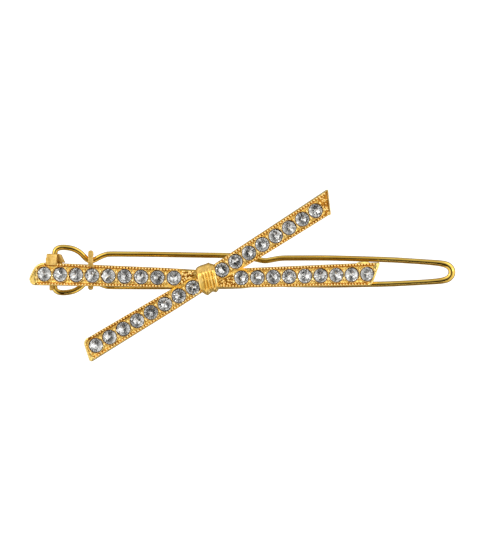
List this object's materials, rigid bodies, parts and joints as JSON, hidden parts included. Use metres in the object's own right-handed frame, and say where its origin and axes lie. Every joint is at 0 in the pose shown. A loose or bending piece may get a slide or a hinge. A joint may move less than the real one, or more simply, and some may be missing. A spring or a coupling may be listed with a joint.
{
  "type": "rhinestone hair clip",
  "caption": "Bow-shaped hair clip: arched crossing ribbons set with clear rhinestones and tied by a knot, over a sprung wire pin hinged at one end and held by a catch.",
  "frame": {"origin": "centre of the flat back of the knot wrap", "axes": "+X along the pin from its hinge to its tip, +Y across the clip, +Z out of the ornament's front, away from the hair"},
  "size_m": [0.0769, 0.0311, 0.0089],
  "materials": {
    "cast_gold_plate": "cast alloy, gold plated, bright edges over a grainy ground",
    "polished_gold_wire": "gold-plated spring wire, polished",
    "foiled_crystal": "clear cut glass with a silvered back"
  },
  "bodies": {
    "ornament": {"cross_ribbon": "cast_gold_plate", "ribbon_tail_left": "cast_gold_plate", "ribbon_tail_right": "cast_gold_plate", "knot_wrap": "cast_gold_plate", "hinge_bracket": "cast_gold_plate", "catch_bar": "cast_gold_plate", "rhinestone_long_left_1": "foiled_crystal", "rhinestone_long_left_2": "foiled_crystal", "rhinestone_long_left_3": "foiled_crystal", "rhinestone_long_left_4": "foiled_crystal", "rhinestone_long_left_5": "foiled_crystal", "rhinestone_long_left_6": "foiled_crystal", "rhinestone_long_left_7": "foiled_crystal", "rhinestone_long_left_8": "foiled_crystal", "rhinestone_long_left_9": "foiled_crystal", "rhinestone_long_right_1": "foiled_crystal", "rhinestone_long_right_2": "foiled_crystal", "rhinestone_long_right_3": "foiled_crystal", "rhinestone_long_right_4": "foiled_crystal", "rhinestone_long_right_5": "foiled_crystal", "rhinestone_long_right_6": "foiled_crystal", "rhinestone_long_right_7": "foiled_crystal", "rhinestone_long_right_8": "foiled_crystal", "rhinestone_long_right_9": "foiled_crystal", "rhinestone_cross_left_1": "foiled_crystal", "rhinestone_cross_left_2": "foiled_crystal", "rhinestone_cross_left_3": "foiled_crystal", "rhinestone_cross_left_4": "foiled_crystal", "rhinestone_cross_left_5": "foiled_crystal", "rhinestone_cross_left_6": "foiled_crystal", "rhinestone_cross_left_7": "foiled_crystal", "rhinestone_cross_left_8": "foiled_crystal", "rhinestone_cross_right_1": "foiled_crystal", "rhinestone_cross_right_2": "foiled_crystal", "rhinestone_cross_right_3": "foiled_crystal", "rhinestone_cross_right_4": "foiled_crystal", "rhinestone_cross_right_5": "foiled_crystal", "rhinestone_cross_right_6": "foiled_crystal", "rhinestone_cross_right_7": "foiled_crystal", "rhinestone_cross_right_8": "foiled_crystal"},
    "pin": {"pin_tip_bend": "polished_gold_wire"},
    "leg_upper": {"pin_leg_upper": "polished_gold_wire"},
    "leg_lower": {"pin_leg_lower": "polished_gold_wire"}
  },
  "joints": [
    {"name": "pin_open", "type": "hinge", "parent": "ornament", "child": "pin", "pos_m": [-0.02755, 0.00147, -0.0047], "axis": [0, 1, 0], "range_deg": [0, 70]},
    {"name": "squeeze_upper", "type": "hinge", "parent": "pin", "child": "leg_upper", "pos_m": [0.03815, 0.00336, -0.00535], "axis": [0, 0, 1], "range_deg": [0, 0.5], "stiffness_Nm_per_rad": 0.05},
    {"name": "squeeze_lower", "type": "hinge", "parent": "pin", "child": "leg_lower", "pos_m": [0.03815, -0.00042, -0.00535], "axis": [0, 0, -1], "range_deg": [0, 0.5], "stiffness_Nm_per_rad": 0.05}
  ],
  "couplings": [
    {"joint": "squeeze_lower", "follows": "squeeze_upper", "ratio": 1}
  ]
}
